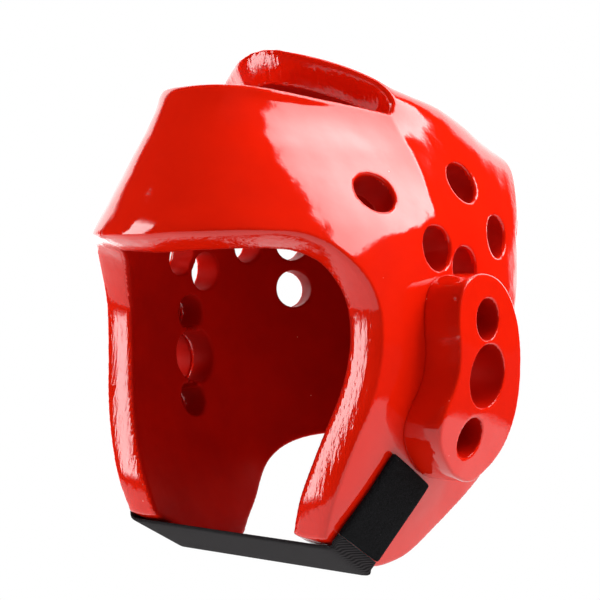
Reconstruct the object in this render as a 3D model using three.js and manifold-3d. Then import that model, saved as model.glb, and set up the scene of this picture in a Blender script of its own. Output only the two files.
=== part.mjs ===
// A dipped-foam head guard for taekwondo, in millimetres.
// X points to the wearer's left, -Y to the front and +Z up. The origin is where the crown of the
// head touches the inside of the shell.
import * as THREE from 'three';
import { mergeVertices } from 'three/addons/utils/BufferGeometryUtils.js';
import Module from 'manifold-3d';

const wasm = await Module();
wasm.setup();

// Shell
const HALF_WIDTH = 95;
const FRONT_REACH = 125;
const REAR_REACH = 124;
const SHELL_HEIGHT = 262;
const FOAM = 17;
const CREST_LIP = 7.5;

// Vent holes and ear pads
const VENT_DIAMETER = 22;
const PAD_HEIGHT = 102;
const PAD_WIDTH = 68;
const PAD_THICKNESS = 20;
const EAR_HOLE = 31;
const EAR_VENT = 20;

// Strap
const STRAP_WIDTH = 40;
const STRAP_THICKNESS = 2;
const STRAP_FOLD = 4.5;
const STRAP_DROP = 2;
const TAB_LENGTH = 46;
const TAB_THICKNESS = 3;
const TAB_BESIDE_PAD = 9.5;
const STRAP_LIFT = 0.9;

// Clearance between pieces that lie on each other
const GAP = 0.3;

const CREST_TOP = FOAM + CREST_LIP;
const DEGREE = Math.PI / 180;
const HOLE_SIDES = 18;

// Horizontal sections of the outside, from the crown down. drop is a share of the shell's height.
// front, rear and the y of ridge and corner are shares of the reach on their own side, and x is a
// share of the half width. The turns are the directions that the wall faces, in degrees from the
// left: just before and after the ridge over the temple, and before and after the rear corner.
const SECTIONS = [
  { drop: 0.007, front: 0.29, ridge: [0.06, -0.24], turn: [-2, -2],
    corner: [0.045, -0.215], bend: [40, 40], rear: -0.195, full: 0.56 },
  { drop: 0.012, front: 0.345, ridge: [0.13, -0.245], turn: [-3, -3],
    corner: [0.105, -0.195], bend: [38, 40], rear: -0.16, full: 0.56 },
  { drop: 0.021, front: 0.43, ridge: [0.235, -0.21], turn: [-4, -2],
    corner: [0.19, -0.13], bend: [34, 40], rear: -0.05, full: 0.56 },
  { drop: 0.036, front: 0.53, ridge: [0.36, -0.145], turn: [-5, 0],
    corner: [0.295, -0.02], bend: [32, 42], rear: 0.11, full: 0.56 },
  { drop: 0.056, front: 0.605, ridge: [0.485, -0.085], turn: [-8, 2],
    corner: [0.4, 0.065], bend: [30, 42], rear: 0.25, full: 0.56 },
  { drop: 0.081, front: 0.68, ridge: [0.59, -0.03], turn: [-14, 0],
    corner: [0.525, 0.12], bend: [28, 42], rear: 0.4, full: 0.57 },
  { drop: 0.106, front: 0.733, ridge: [0.635, -0.036], turn: [-22, -16],
    corner: [0.6, 0.36], bend: [30, 42], rear: 0.56, full: 0.58 },
  { drop: 0.134, front: 0.762, ridge: [0.653, -0.056], turn: [-30, -20],
    corner: [0.655, 0.48], bend: [28, 42], rear: 0.693, full: 0.58 },
  { drop: 0.154, front: 0.781, ridge: [0.68, -0.058], turn: [-30, -17],
    corner: [0.69, 0.55], bend: [25, 42], rear: 0.758, full: 0.58 },
  { drop: 0.186, front: 0.813, ridge: [0.733, -0.055], turn: [-27, -13],
    corner: [0.75, 0.625], bend: [20, 40], rear: 0.83, full: 0.57 },
  { drop: 0.214, front: 0.842, ridge: [0.785, -0.053], turn: [-24, -10],
    corner: [0.82, 0.677], bend: [9, 30], rear: 0.903, full: 0.57 },
  { drop: 0.245, front: 0.871, ridge: [0.832, -0.05], turn: [-21, -8],
    corner: [0.855, 0.672], bend: [8, 25], rear: 0.953, full: 0.57 },
  { drop: 0.275, front: 0.9, ridge: [0.874, -0.053], turn: [-17, -6],
    corner: [0.882, 0.655], bend: [9, 23], rear: 0.979, full: 0.57 },
  { drop: 0.332, front: 0.955, ridge: [0.947, -0.062], turn: [-10, -4],
    corner: [0.912, 0.63], bend: [11, 22], rear: 0.998, full: 0.56 },
  { drop: 0.37, front: 0.992, ridge: [0.979, -0.064], turn: [-5, -2],
    corner: [0.92, 0.615], bend: [12, 22], rear: 1, full: 0.57 },
  { drop: 0.477, front: 1, ridge: [1, -0.064], turn: [-1, -1],
    corner: [0.932, 0.598], bend: [14, 22], rear: 0.994, full: 0.65 },
  { drop: 0.557, front: 1, ridge: [1, -0.048], turn: [0, 0],
    corner: [0.925, 0.573], bend: [15, 22], rear: 0.968, full: 0.67 },
  { drop: 0.672, front: 1, ridge: [0.974, 0], turn: [0, 0],
    corner: [0.915, 0.532], bend: [16, 22], rear: 0.903, full: 0.68 },
  { drop: 0.733, front: 1, ridge: [0.932, 0.04], turn: [0, 0],
    corner: [0.9, 0.5], bend: [16, 22], rear: 0.863, full: 0.69 },
  { drop: 0.792, front: 1, ridge: [0.89, 0.089], turn: [0, 0],
    corner: [0.873, 0.468], bend: [14, 22], rear: 0.831, full: 0.69 },
  { drop: 0.84, front: 1, ridge: [0.848, 0.121], turn: [0, 0],
    corner: [0.842, 0.444], bend: [12, 22], rear: 0.806, full: 0.69 },
  { drop: 0.917, front: 1, ridge: [0.758, 0.161], turn: [0, 0],
    corner: [0.768, 0.403], bend: [8, 22], rear: 0.774, full: 0.69 },
  { drop: 1.02, front: 1, ridge: [0.64, 0.194], turn: [0, 0],
    corner: [0.662, 0.371], bend: [5, 22], rear: 0.75, full: 0.69 },
];

// Outer edge of the face opening on the left half: y and drop of a point of the wall, and the way
// that the foam is cut there, in degrees: turned from straight back towards the right, and down.
const FACE_RIM = [
  { at: [-1, 0.376], cut: [0, 25] },
  { at: [-0.985, 0.375], cut: [16, 25] },
  { at: [-0.930, 0.372], cut: [30, 25] },
  { at: [-0.820, 0.370], cut: [42, 25] },
  { at: [-0.700, 0.373], cut: [50, 25] },
  { at: [-0.620, 0.388], cut: [57, 24] },
  { at: [-0.568, 0.407], cut: [65, 21] },
  { at: [-0.511, 0.437], cut: [76, 17] },
  { at: [-0.467, 0.470], cut: [84, 11] },
  { at: [-0.438, 0.509], cut: [89, 5] },
  { at: [-0.429, 0.558], cut: [90, 1] },
  { at: [-0.437, 0.616], cut: [90, 0] },
  { at: [-0.460, 0.672], cut: [90, 0] },
  { at: [-0.493, 0.734], cut: [90, 0] },
  { at: [-0.514, 0.792], cut: [90, 0] },
  { at: [-0.523, 0.839], cut: [90, 0] },
  { at: [-0.519, 0.876], cut: [90, 0] },
  { at: [-0.505, 0.917], cut: [90, 0] },
];

// Crescent opening over the forehead, from the middle to its left end: a point of the band's top
// edge and a point of the crown's front edge, and the way that the foam is cut at each of them.
// t runs from 0 in the middle to 1 at the ridge.
const CRESCENT = [
  { band: { t: 0, drop: 0.099, cut: [0, 28] }, crown: { t: 0, drop: 0.008, cut: [0, 74] } },
  { band: { t: 0.20, drop: 0.099, cut: [10, 28] }, crown: { t: 1, drop: 0.010, cut: [8, 73] } },
  { band: { t: 0.38, drop: 0.101, cut: [22, 28] }, crown: { t: 1, drop: 0.018, cut: [18, 71] } },
  { band: { t: 0.54, drop: 0.106, cut: [34, 29] }, crown: { t: 1, drop: 0.030, cut: [28, 68] } },
  { band: { t: 0.68, drop: 0.113, cut: [44, 30] }, crown: { t: 1, drop: 0.045, cut: [38, 64] } },
  { band: { t: 0.81, drop: 0.121, cut: [54, 31] }, crown: { t: 1, drop: 0.062, cut: [48, 59] } },
  { band: { t: 0.92, drop: 0.130, cut: [62, 32] }, crown: { t: 1, drop: 0.084, cut: [58, 52] } },
  { band: { t: 1, drop: 0.138, cut: [70, 33] }, crown: { t: 1.04, drop: 0.112, cut: [68, 44] } },
];

// Lower edge of the jaw and the neck, seen from the side: y as a share of the reach, and drop.
const LOWER_EDGE = [
  [-0.505, 0.917], [-0.36, 0.952], [-0.22, 0.984], [-0.14, 0.996], [-0.03, 0.994],
  [0.07, 0.981], [0.20, 0.939], [0.34, 0.880], [0.47, 0.834], [0.62, 0.806], [0.78, 0.795],
  [1.15, 0.790],
];

// Vent holes on one side: y and drop of their middle.
const VENTS = [
  [-0.315, 0.295], [-0.088, 0.396], [0.200, 0.266], [0.390, 0.370], [0.096, 0.434],
  [0.700, 0.370], [0.710, 0.481],
];

// Ear pad outline, from the top round the rear: y as a share of the pad's width from its middle,
// and z as a share of its height from its top.
const PAD_OUTLINE = [
  [-0.13, 0], [0.07, 0.018], [0.22, 0.075], [0.34, 0.165], [0.43, 0.285], [0.475, 0.43],
  [0.485, 0.59], [0.455, 0.74], [0.375, 0.86], [0.24, 0.945], [0.05, 1], [-0.17, 0.962],
  [-0.34, 0.885], [-0.47, 0.79], [-0.51, 0.70], [-0.485, 0.62], [-0.43, 0.545], [-0.39, 0.46],
  [-0.39, 0.35], [-0.41, 0.23], [-0.39, 0.125], [-0.31, 0.04],
];
const PAD_REACH = 0.02;
const EAR_HOLES = [
  { at: [-0.04, 0.215], diameter: EAR_VENT },
  { at: [-0.01, 0.468], diameter: EAR_HOLE },
  { at: [-0.11, 0.725], diameter: EAR_VENT },
];

// Strap tab: y and drop of its middle on the jaw, and its slant in side view, in degrees from
// straight down towards the front.
const TAB_MIDDLE = [-0.24, 0.873];
const TAB_SLANT = 29;

const height = (drop) => CREST_TOP - drop * SHELL_HEIGHT;
const reach = (share) => share * (share < 0 ? FRONT_REACH : REAR_REACH);

// Smooth value between the rows of a table, at a height between them.
function blend(values, index, t) {
  const at = (i) => values[THREE.MathUtils.clamp(i, 0, values.length - 1)];
  const [before, from, to, after] = [at(index - 1), at(index), at(index + 1), at(index + 2)];
  const slope = (a, b, c) => ((b - a) * (c - b) <= 0 ? 0 : (c - a) / 2);
  const start = slope(before, from, to);
  const end = slope(from, to, after);
  const square = t * t;
  const cube = square * t;
  return (2 * cube - 3 * square + 1) * from + (cube - 2 * square + t) * start
    + (3 * square - 2 * cube) * to + (cube - square) * end;
}

// The outline's named points at one height.
function sectionAt(z) {
  const drop = (CREST_TOP - z) / SHELL_HEIGHT;
  let index = SECTIONS.findIndex((row) => row.drop > drop) - 1;
  if (index < 0) index = drop < SECTIONS[0].drop ? 0 : SECTIONS.length - 2;
  const span = SECTIONS[index + 1].drop - SECTIONS[index].drop;
  const t = THREE.MathUtils.clamp((drop - SECTIONS[index].drop) / span, 0, 1);
  const value = (read) => blend(SECTIONS.map(read), index, t);
  return {
    front: new THREE.Vector2(0, -value((row) => row.front) * FRONT_REACH),
    ridge: new THREE.Vector2(
      value((row) => row.ridge[0]) * HALF_WIDTH,
      value((row) => reach(row.ridge[1])),
    ),
    corner: new THREE.Vector2(
      value((row) => row.corner[0]) * HALF_WIDTH,
      value((row) => reach(row.corner[1])),
    ),
    rear: new THREE.Vector2(0, value((row) => reach(row.rear))),
    turn: [value((row) => row.turn[0]), value((row) => row.turn[1])],
    bend: [value((row) => row.bend[0]), value((row) => row.bend[1])],
    full: value((row) => row.full),
  };
}

// Direction along the wall where it faces a given way, going to the rear.
const along = (facing) => new THREE.Vector2(-Math.sin(facing * DEGREE), Math.cos(facing * DEGREE));

// The left half of the outline: band, side panel and rear panel, each one smooth curve.
function outlineAt(z) {
  const s = sectionAt(z);
  const depth = s.ridge.y - s.front.y;
  const side = s.corner.distanceTo(s.ridge) * 0.36;
  const back = s.corner.distanceTo(s.rear) * 0.42;
  return [
    new THREE.CubicBezierCurve(
      s.front,
      new THREE.Vector2(s.ridge.x * s.full, s.front.y),
      s.ridge.clone().addScaledVector(along(s.turn[0]), -depth * s.full),
      s.ridge,
    ),
    new THREE.CubicBezierCurve(
      s.ridge,
      s.ridge.clone().addScaledVector(along(s.turn[1]), side),
      s.corner.clone().addScaledVector(along(s.bend[0]), -side),
      s.corner,
    ),
    new THREE.CubicBezierCurve(
      s.corner,
      s.corner.clone().addScaledVector(along(s.bend[1]), back),
      new THREE.Vector2(back, s.rear.y),
      s.rear,
    ),
  ];
}

// A point of the wall: t runs from 0 at the front over 1 at the ridge and 2 at the corner to 3.
function wallPoint(t, z) {
  const piece = Math.min(Math.floor(t), 2);
  const flat = outlineAt(z)[piece].getPoint(t - piece);
  return new THREE.Vector3(flat.x, flat.y, z);
}

const TOP = height(SECTIONS[0].drop);
const BOTTOM = height(SECTIONS.at(-1).drop);

// The way the wall faces, averaged a little so that it turns gently over a crease.
function wallNormal(t, z) {
  const step = 0.04;
  const rise = 0.01 * SHELL_HEIGHT;
  const tLow = Math.max(t - step, 0);
  const tHigh = Math.min(t + step, 3);
  const zLow = z - rise;
  const zHigh = Math.min(z + rise, TOP);
  const across = wallPoint(tHigh, z).sub(wallPoint(tLow, z));
  const up = wallPoint(t, zHigh).sub(wallPoint(t, zLow));
  const normal = across.cross(up).normalize();
  if (t <= 0 || t >= 3) normal.setX(0).normalize();
  return normal;
}

// Where the wall lies at a given y and height.
function onWall(y, z) {
  let low = 0;
  let high = 3;
  for (let halving = 0; halving < 30; halving++) {
    const middle = (low + high) / 2;
    if (wallPoint(middle, z).y < y) low = middle;
    else high = middle;
  }
  return { point: wallPoint(low, z), normal: wallNormal(low, z) };
}

function toSolid(geometry) {
  geometry.deleteAttribute('normal');
  geometry.deleteAttribute('uv');
  const merged = mergeVertices(geometry, 1e-4);
  return new wasm.Manifold(new wasm.Mesh({
    numProp: 3,
    vertProperties: Float32Array.from(merged.attributes.position.array),
    triVerts: Uint32Array.from(merged.index.array),
  }));
}

function toGeometry(solid) {
  const mesh = solid.getMesh();
  const geometry = new THREE.BufferGeometry();
  geometry.setAttribute('position', new THREE.BufferAttribute(mesh.vertProperties, 3));
  geometry.setIndex(new THREE.BufferAttribute(mesh.triVerts, 1));
  geometry.computeVertexNormals();
  return geometry;
}

// A closed body from rings of points, the first ring on top, each turning anticlockwise.
function skin(rings) {
  const count = rings[0].length;
  const points = rings.flat();
  const middle = (ring) => ring.reduce((sum, p) => sum.add(p), new THREE.Vector3())
    .multiplyScalar(1 / count);
  const top = points.push(middle(rings[0])) - 1;
  const foot = points.push(middle(rings.at(-1))) - 1;
  const faces = [];
  for (let row = 0; row + 1 < rings.length; row++) {
    for (let i = 0; i < count; i++) {
      const a = row * count + i;
      const b = row * count + (i + 1) % count;
      if (i < count / 2) faces.push(a, a + count, b + count, a, b + count, b);
      else faces.push(a, a + count, b, b, a + count, b + count);
    }
  }
  const last = (rings.length - 1) * count;
  for (let i = 0; i < count; i++) {
    faces.push(top, i, (i + 1) % count);
    faces.push(foot, last + (i + 1) % count, last + i);
  }
  const geometry = new THREE.BufferGeometry().setFromPoints(points);
  geometry.setIndex(faces);
  return geometry;
}

const mirrored = (p) => new THREE.Vector3(-p.x, p.y, p.z);

// Half a ring from front to rear becomes a whole ring, anticlockwise seen from above.
const wholeRing = (half) => [...half, ...half.slice(1, -1).reverse().map(mirrored)];

// The wall moved out by a distance, or in where it is negative, as one closed body.
function wallBody(offset, steps, rows, relax) {
  const stations = [0, 1, 2].flatMap((piece) => (
    Array.from({ length: steps[piece] }, (_, i) => piece + i / steps[piece])
  ));
  stations.push(3);
  const grid = rows.map((z) => stations.map((t) => (
    wallPoint(t, z).addScaledVector(wallNormal(t, z), offset)
  )));
  for (let pass = 0; pass < relax; pass++) {
    const old = grid.map((row) => row.map((p) => p.clone()));
    for (let r = 1; r + 1 < grid.length; r++) {
      for (let c = 1; c + 1 < stations.length; c++) {
        const around = new THREE.Vector3().add(old[r - 1][c]).add(old[r + 1][c])
          .add(old[r][c - 1]).add(old[r][c + 1]).multiplyScalar(0.25);
        grid[r][c].lerp(around, 0.5);
      }
      for (const c of [0, stations.length - 1]) {
        const around = old[r - 1][c].clone().add(old[r + 1][c]).multiplyScalar(0.5);
        grid[r][c].lerp(around, 0.5);
      }
    }
  }
  return toSolid(skin(grid.map(wholeRing)));
}

// Heights for the rows of a body: those of the table and more between them, where these lie
// further apart than a share of the shell's height.
function rowHeights(share) {
  const heights = [];
  for (let i = 0; i + 1 < SECTIONS.length; i++) {
    const top = height(SECTIONS[i].drop);
    const foot = height(SECTIONS[i + 1].drop);
    const count = Math.max(1, Math.round((top - foot) / (share * SHELL_HEIGHT)));
    for (let k = 0; k < count; k++) heights.push(top + (foot - top) * k / count);
  }
  heights.push(BOTTOM);
  return heights;
}

// The inward way of a cut, from its two angles.
function cutWay([turned, down]) {
  const level = Math.cos(down * DEGREE);
  return new THREE.Vector3(
    -Math.sin(turned * DEGREE) * level,
    Math.cos(turned * DEGREE) * level,
    -Math.sin(down * DEGREE),
  );
}

// Lines through the wall at the places of a table, each as points at the given depths, with
// smooth lines in even number between them.
function rulings(places, depths, count) {
  const curves = depths.map((depth) => new THREE.CatmullRomCurve3(
    places.map(({ point, cut }) => point.clone().addScaledVector(cutWay(cut), depth)),
  ));
  return Array.from({ length: count + 1 }, (_, i) => (
    curves.map((curve) => curve.getPoint(i / count))
  ));
}

// The face opening: out through the wall along its edge, on ahead, and down between the jaws.
function faceCutter() {
  const places = FACE_RIM.map(({ at, cut }) => (
    { point: onWall(reach(at[0]), height(at[1])).point, cut }
  ));
  const lines = rulings(places, [1.5 * FOAM, 0, -1.8 * FOAM], 2 * (places.length - 1));
  const below = new THREE.Vector3(0, 0, -SHELL_HEIGHT / 4);
  lines.push(lines.at(-1).map((p) => p.clone().add(below)));
  lines.push(lines.at(-1).map((p) => p.clone().setX(0)));
  const loops = lines[0].map((_, depth) => wholeRing(lines.map((line) => line[depth])));
  loops.push(loops.at(-1).map((p) => p.clone().setY(-1.6 * FRONT_REACH)));
  return toSolid(skin(loops));
}

// The crescent is a chain of bars, each from the band's edge to the crown's edge.
function crescentCutter() {
  const depths = [1.5 * FOAM, 0.75 * FOAM, 0, -FOAM];
  const edge = (name) => rulings(CRESCENT.map((row) => {
    const { t, drop, cut } = row[name];
    return { point: wallPoint(t, height(drop)), cut };
  }), depths, 14);
  const crown = edge('crown');
  const bars = edge('band').map((line, i) => [...crown[i], ...line.reverse()]);
  return toSolid(skin([...bars.slice(1).reverse(), ...bars.map((bar) => bar.map(mirrored))]));
}

// A plate across the whole width with a side-view outline of y and z.
function crossPlate(outline, half) {
  const shape = new THREE.Shape(outline.map(([y, z]) => new THREE.Vector2(y, z)));
  const plate = new THREE.ExtrudeGeometry(shape, { depth: 2 * half, bevelEnabled: false });
  plate.applyMatrix4(new THREE.Matrix4().makeBasis(
    new THREE.Vector3(0, 1, 0), new THREE.Vector3(0, 0, 1), new THREE.Vector3(1, 0, 0),
  ));
  plate.translate(-half, 0, 0);
  return toSolid(plate);
}

// All that lies below the lower edge of the jaw and the neck.
function neckCutter() {
  const edge = LOWER_EDGE.map(([y, drop]) => new THREE.Vector2(reach(y), height(drop)));
  const curve = new THREE.SplineCurve(edge).getPoints(3 * edge.length);
  const front = -1.5 * FRONT_REACH;
  const rear = 1.5 * REAR_REACH;
  const floor = BOTTOM - FOAM;
  const outline = [[front, edge[0].y], ...curve.map((p) => [p.x, p.y]), [rear, edge.at(-1).y],
    [rear, floor], [front, floor]];
  return crossPlate(outline, 2 * HALF_WIDTH);
}

// A pin right through the wall and what lies on it.
function punch(point, normal, diameter) {
  const length = 3 * (FOAM + PAD_THICKNESS);
  const pin = new THREE.CylinderGeometry(diameter / 2, diameter / 2, length, HOLE_SIDES);
  pin.applyQuaternion(new THREE.Quaternion().setFromUnitVectors(
    new THREE.Vector3(0, 1, 0), normal,
  ));
  pin.translate(point.x, point.y, point.z);
  return toSolid(pin);
}

function bothSides(point, normal, diameter) {
  return punch(point, normal, diameter)
    .add(punch(mirrored(point), mirrored(normal), diameter));
}

// The strap's tab and its fold go with the jaw's lower edge, and the ear pad ends beside the tab.
const tabMiddle = new THREE.Vector2(reach(TAB_MIDDLE[0]), height(TAB_MIDDLE[1]));
const tabTop = tabMiddle.y + TAB_LENGTH / 2 * Math.cos(TAB_SLANT * DEGREE);
const padMiddle = new THREE.Vector2(
  reach(PAD_REACH),
  tabTop - TAB_BESIDE_PAD + PAD_HEIGHT / 2,
);
const padPlace = ([y, down]) => new THREE.Vector2(
  padMiddle.x + y * PAD_WIDTH,
  padMiddle.y + (0.5 - down) * PAD_HEIGHT,
);

function earHolePlaces() {
  return EAR_HOLES.map(({ at, diameter }) => {
    const middle = padPlace(at);
    return { ...onWall(middle.x, middle.y), diameter };
  });
}

function makeShell() {
  let solid = wallBody(0, [12, 6, 6], rowHeights(0.042), 0)
    .subtract(wallBody(-FOAM, [9, 5, 5], rowHeights(0.061), 2))
    .subtract(faceCutter())
    .subtract(crescentCutter())
    .subtract(neckCutter());
  for (const [y, drop] of VENTS) {
    const { point, normal } = onWall(reach(y), height(drop));
    solid = solid.subtract(bothSides(point, normal, VENT_DIAMETER));
  }
  for (const { point, normal, diameter } of earHolePlaces()) {
    solid = solid.subtract(bothSides(point, normal, diameter));
  }
  return solid;
}

function makeEarPad() {
  const outline = new THREE.SplineCurve([...PAD_OUTLINE, PAD_OUTLINE[0]].map(padPlace))
    .getPoints(40).slice(0, -1).map((p) => [p.x, p.y]);
  const padRows = rowHeights(0.038).filter((z) => Math.abs(z - padMiddle.y) < 0.75 * PAD_HEIGHT);
  let pad = crossPlate(outline, 2 * HALF_WIDTH)
    .intersect(wallBody(PAD_THICKNESS, [6, 8, 4], padRows, 0))
    .subtract(wallBody(GAP, [12, 6, 6], rowHeights(0.042), 0));
  for (const { point, normal, diameter } of earHolePlaces()) {
    pad = pad.subtract(punch(point, normal, diameter));
  }
  return pad.decompose().find((piece) => piece.boundingBox().min[0] > 0);
}

function mirrorGeometry(geometry) {
  const copy = geometry.clone().applyMatrix4(new THREE.Matrix4().makeScale(-1, 1, 1));
  const index = Array.from(copy.index.array);
  for (let i = 0; i < index.length; i += 3) [index[i], index[i + 1]] = [index[i + 1], index[i]];
  copy.setIndex(index);
  copy.computeVertexNormals();
  return copy;
}

// A flat strip of even thickness from rows of points on its inner face and their outward sides.
function ribbon(rows, thickness) {
  const rings = rows.map((row) => {
    const outer = row.map(({ point, normal }) => point.clone().addScaledVector(normal, thickness));
    return [...outer, ...row.map(({ point }) => point).reverse()];
  });
  return skin(rings);
}

// A place on the jaw at two distances from the tab's middle, measured along the wall: down the
// strap and across it to the rear. lift is its height above the wall.
function strapSpot(down, across, lift) {
  const slant = TAB_SLANT * DEGREE;
  const ways = [
    { way: new THREE.Vector2(-Math.sin(slant), -Math.cos(slant)), length: down },
    { way: new THREE.Vector2(Math.cos(slant), -Math.sin(slant)), length: across },
  ];
  const at = tabMiddle.clone();
  for (const { way, length } of ways) {
    const steps = 8;
    for (let i = 0; i < steps; i++) {
      const here = onWall(at.x, at.y).point;
      const near = onWall(at.x + way.x, at.y + way.y).point;
      at.addScaledVector(way, length / steps / near.distanceTo(here));
    }
  }
  const { point, normal } = onWall(at.x, at.y);
  return { point: point.addScaledVector(normal, lift), normal };
}

function makeTab() {
  const rows = [-0.5, -0.25, 0, 0.25, 0.5].map((down) => (
    [-0.5, -0.25, 0, 0.25, 0.5].map((across) => (
      strapSpot(down * TAB_LENGTH, across * STRAP_WIDTH, STRAP_LIFT)
    ))
  ));
  return ribbon(rows, TAB_THICKNESS);
}

// The webbing leaves the tabs' lower ends, folds round the jaw and runs straight under the chin.
function makeStrap() {
  const edge = (across) => {
    const rows = [GAP, STRAP_FOLD / 2, STRAP_FOLD].map((beyond) => (
      strapSpot(TAB_LENGTH / 2 + beyond, across * STRAP_WIDTH, STRAP_LIFT)
    ));
    const last = rows.at(-1);
    const low = last.point.clone().add(new THREE.Vector3(-STRAP_THICKNESS / 2, 0, -STRAP_DROP));
    rows.push({ point: low, normal: last.normal.clone().setZ(last.normal.z - 1).normalize() });
    for (const share of [0.88, 0.6, 0.3, 0]) {
      rows.push({ point: low.clone().setX(low.x * share).setZ(low.z - GAP), normal: null });
    }
    return rows;
  };
  const front = edge(-0.5);
  const rear = edge(0.5);
  const across = rear.at(-1).point.clone().sub(front.at(-1).point);
  const down = across.cross(new THREE.Vector3(1, 0, 0)).normalize();
  if (down.z > 0) down.negate();
  const half = front.map((spot, i) => [spot, rear[i]].map(({ point, normal }) => (
    { point, normal: normal ?? down }
  )));
  const other = half.slice(0, -1).reverse().map((row) => row.map(({ point, normal }) => (
    { point: mirrored(point), normal: mirrored(normal) }
  )));
  return ribbon([...half, ...other], STRAP_THICKNESS);
}

const red = { color: 0xd81408, roughness: 0.28, metalness: 0 };
const black = { color: 0x17171a, roughness: 0.9, metalness: 0 };

function part(name, geometry, look) {
  const mesh = new THREE.Mesh(geometry, new THREE.MeshStandardMaterial(look));
  mesh.name = name;
  return mesh;
}

const headgear = new THREE.Group();
headgear.add(part('shell', toGeometry(makeShell()), red));
const earPad = toGeometry(makeEarPad());
headgear.add(part('ear_pad_left', earPad, red));
headgear.add(part('ear_pad_right', mirrorGeometry(earPad), red));
const tab = toGeometry(toSolid(makeTab()));
headgear.add(part('strap_tab_left', tab, black));
headgear.add(part('strap_tab_right', mirrorGeometry(tab), black));
headgear.add(part('chin_strap', toGeometry(toSolid(makeStrap())), black));

export default headgear;
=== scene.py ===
"""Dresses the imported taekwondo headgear: glossy dipped foam, pile tabs and an elastic chin strap."""

import logging
import math
from dataclasses import dataclass, field
from enum import Enum

import bmesh
import bpy
import numpy as np
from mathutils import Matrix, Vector
from mathutils.bvhtree import BVHTree


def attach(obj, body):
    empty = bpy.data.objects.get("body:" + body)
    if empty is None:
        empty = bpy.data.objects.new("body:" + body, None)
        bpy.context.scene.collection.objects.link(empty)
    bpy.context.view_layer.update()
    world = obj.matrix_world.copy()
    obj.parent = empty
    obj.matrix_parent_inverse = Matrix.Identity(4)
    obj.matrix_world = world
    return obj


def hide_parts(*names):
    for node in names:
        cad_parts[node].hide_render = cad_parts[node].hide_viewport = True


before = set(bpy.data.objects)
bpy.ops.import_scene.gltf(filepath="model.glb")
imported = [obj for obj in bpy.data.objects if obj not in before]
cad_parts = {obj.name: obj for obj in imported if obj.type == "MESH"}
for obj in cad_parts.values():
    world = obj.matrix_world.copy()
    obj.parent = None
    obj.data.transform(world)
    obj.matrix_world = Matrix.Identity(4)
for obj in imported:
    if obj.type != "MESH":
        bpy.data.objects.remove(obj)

log = logging.getLogger("headgear")

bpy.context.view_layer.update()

MM = 0.001
HOLE_MARGIN = 0.5 * MM
CUSHION_HOLE_REACH = 100 * MM

Ring = np.ndarray


class Side(Enum):
    """The headgear's sides, as the sign of X."""

    LEFT = 1
    RIGHT = -1


@dataclass(frozen=True)
class Section:
    """One horizontal section of the shell's outside.

    drop is a share of the shell's height. front, rear and the y of ridge and corner are shares of
    the reach on their side, x is a share of the half width, and turn and bend are the ways that
    the wall faces before and after the ridge and the rear corner, in degrees from the left.
    """

    drop: float
    front: float
    ridge: tuple[float, float]
    turn: tuple[float, float]
    corner: tuple[float, float]
    bend: tuple[float, float]
    rear: float
    full: float


SECTIONS: tuple[Section, ...] = (
    Section(0.007, 0.290, (0.060, -0.240), (-2, -2), (0.045, -0.215), (40, 40), -0.195, 0.56),
    Section(0.012, 0.345, (0.130, -0.245), (-3, -3), (0.105, -0.195), (38, 40), -0.160, 0.56),
    Section(0.021, 0.430, (0.235, -0.210), (-4, -2), (0.190, -0.130), (34, 40), -0.050, 0.56),
    Section(0.036, 0.530, (0.360, -0.145), (-5, 0), (0.295, -0.020), (32, 42), 0.110, 0.56),
    Section(0.056, 0.605, (0.485, -0.085), (-8, 2), (0.400, 0.065), (30, 42), 0.250, 0.56),
    Section(0.081, 0.680, (0.590, -0.030), (-14, 0), (0.525, 0.120), (28, 42), 0.400, 0.57),
    Section(0.106, 0.733, (0.635, -0.036), (-22, -16), (0.600, 0.360), (30, 42), 0.560, 0.58),
    Section(0.134, 0.762, (0.653, -0.056), (-30, -20), (0.655, 0.480), (28, 42), 0.693, 0.58),
    Section(0.154, 0.781, (0.680, -0.058), (-30, -17), (0.690, 0.550), (25, 42), 0.758, 0.58),
    Section(0.186, 0.813, (0.733, -0.055), (-27, -13), (0.750, 0.625), (20, 40), 0.830, 0.57),
    Section(0.214, 0.842, (0.785, -0.053), (-24, -10), (0.820, 0.677), (9, 30), 0.903, 0.57),
    Section(0.245, 0.871, (0.832, -0.050), (-21, -8), (0.855, 0.672), (8, 25), 0.953, 0.57),
    Section(0.275, 0.900, (0.874, -0.053), (-17, -6), (0.882, 0.655), (9, 23), 0.979, 0.57),
    Section(0.332, 0.955, (0.947, -0.062), (-10, -4), (0.912, 0.630), (11, 22), 0.998, 0.56),
    Section(0.370, 0.992, (0.979, -0.064), (-5, -2), (0.920, 0.615), (12, 22), 1.000, 0.57),
    Section(0.477, 1.000, (1.000, -0.064), (-1, -1), (0.932, 0.598), (14, 22), 0.994, 0.65),
    Section(0.557, 1.000, (1.000, -0.048), (0, 0), (0.925, 0.573), (15, 22), 0.968, 0.67),
    Section(0.672, 1.000, (0.974, 0.000), (0, 0), (0.915, 0.532), (16, 22), 0.903, 0.68),
    Section(0.733, 1.000, (0.932, 0.040), (0, 0), (0.900, 0.500), (16, 22), 0.863, 0.69),
    Section(0.792, 1.000, (0.890, 0.089), (0, 0), (0.873, 0.468), (14, 22), 0.831, 0.69),
    Section(0.840, 1.000, (0.848, 0.121), (0, 0), (0.842, 0.444), (12, 22), 0.806, 0.69),
    Section(0.917, 1.000, (0.758, 0.161), (0, 0), (0.768, 0.403), (8, 22), 0.774, 0.69),
    Section(1.020, 1.000, (0.640, 0.194), (0, 0), (0.662, 0.371), (5, 22), 0.750, 0.69),
)


@dataclass(frozen=True)
class Edge:
    """A place on an edge of an opening and the way that the foam is cut there.

    at is y and drop on the wall, or t and drop where the edge says so. cut is in degrees: turned
    from straight back towards the right, and down.
    """

    at: tuple[float, float]
    cut: tuple[float, float]


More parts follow.
